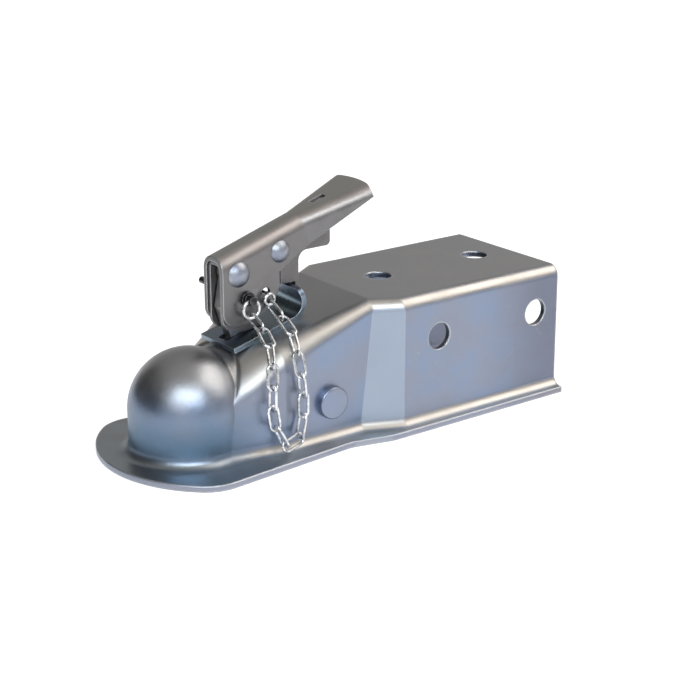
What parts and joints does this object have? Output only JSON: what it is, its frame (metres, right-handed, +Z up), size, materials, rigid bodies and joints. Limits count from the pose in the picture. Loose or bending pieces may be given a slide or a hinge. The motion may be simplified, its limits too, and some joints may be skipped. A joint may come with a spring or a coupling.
{
  "type": "trailer coupling head",
  "caption": "Pressed zinc-plated trailer coupling head for a tow ball, with a lever latch, squeeze trigger, hinged ball clamp and a chained safety pin.",
  "frame": {"origin": "centre of the tow ball in the socket", "axes": "+X towards the trailer tongue, +Z up, -Y the side the chain hangs on"},
  "size_m": [0.2398, 0.1006, 0.1194],
  "materials": {
    "shell_zinc": "bright zinc plate on pressed sheet",
    "latch_zinc": "bright zinc plate",
    "rivet_zinc": "zinc plate, smooth domed heads",
    "plain_steel": "plain steel",
    "spring_wire": "drawn spring wire",
    "clamp_casting": "plated casting",
    "chain_wire": "bright plated wire"
  },
  "bodies": {
    "base": {"body_shell": "shell_zinc", "latch_saddle": "latch_zinc", "clamp_rivet": "rivet_zinc", "clamp_sleeves": "plain_steel", "clamp_spring": "spring_wire", "spring_seat": "plain_steel"},
    "stem": {"clamp_stem": "plain_steel"},
    "lever": {"lever_handle": "latch_zinc", "lever_cam": "latch_zinc", "lever_rivet": "rivet_zinc", "trigger_rivet": "rivet_zinc", "trigger_spacers": "plain_steel", "trigger_spring": "spring_wire", "chain_hook": "chain_wire"},
    "trigger": {"trigger": "latch_zinc"},
    "clamp": {"ball_clamp": "clamp_casting", "clamp_pin": "plain_steel"},
    "pin": {"safety_pin": "chain_wire", "pin_ring": "chain_wire"},
    "chain": {"safety_chain": "chain_wire"}
  },
  "joints": [
    {"name": "stem_drop", "type": "slide", "parent": "base", "child": "stem", "axis": [0, 0, -1], "range_m": [0, 0.00451]},
    {"name": "lever_lift", "type": "hinge", "parent": "stem", "child": "lever", "pos_m": [0.0246, 0, 0.0622], "axis": [0, -1, 0], "range_deg": [0, 60], "deforming": ["safety_chain"]},
    {"name": "trigger_squeeze", "type": "hinge", "parent": "lever", "child": "trigger", "pos_m": [0.04807, 0, 0.06956], "axis": [0, -1, 0], "range_deg": [0, 10], "stiffness_Nm_per_rad": 0.3, "springref_deg": -11.46},
    {"name": "safety_pin_pull", "type": "slide", "parent": "lever", "child": "pin", "axis": [0, -1, 0], "range_m": [0, 0.042], "deforming": ["safety_chain"]},
    {"name": "chain_swing", "type": "hinge", "parent": "lever", "child": "chain", "pos_m": [0.0395, -0.0112, 0.0483], "axis": [0, -1, 0], "range_deg": [-61, 0]},
    {"name": "clamp_open", "type": "hinge", "parent": "base", "child": "clamp", "pos_m": [0.059, 0, -0.001], "axis": [0, -1, 0], "range_deg": [0, 9.6]}
  ],
  "couplings": [
    {"joint": "stem_drop", "follows": "lever_lift", "m_per_rad": 0.0043},
    {"joint": "clamp_open", "follows": "lever_lift", "ratio": 0.158},
    {"joint": "chain_swing", "follows": "lever_lift", "ratio": -1}
  ]
}
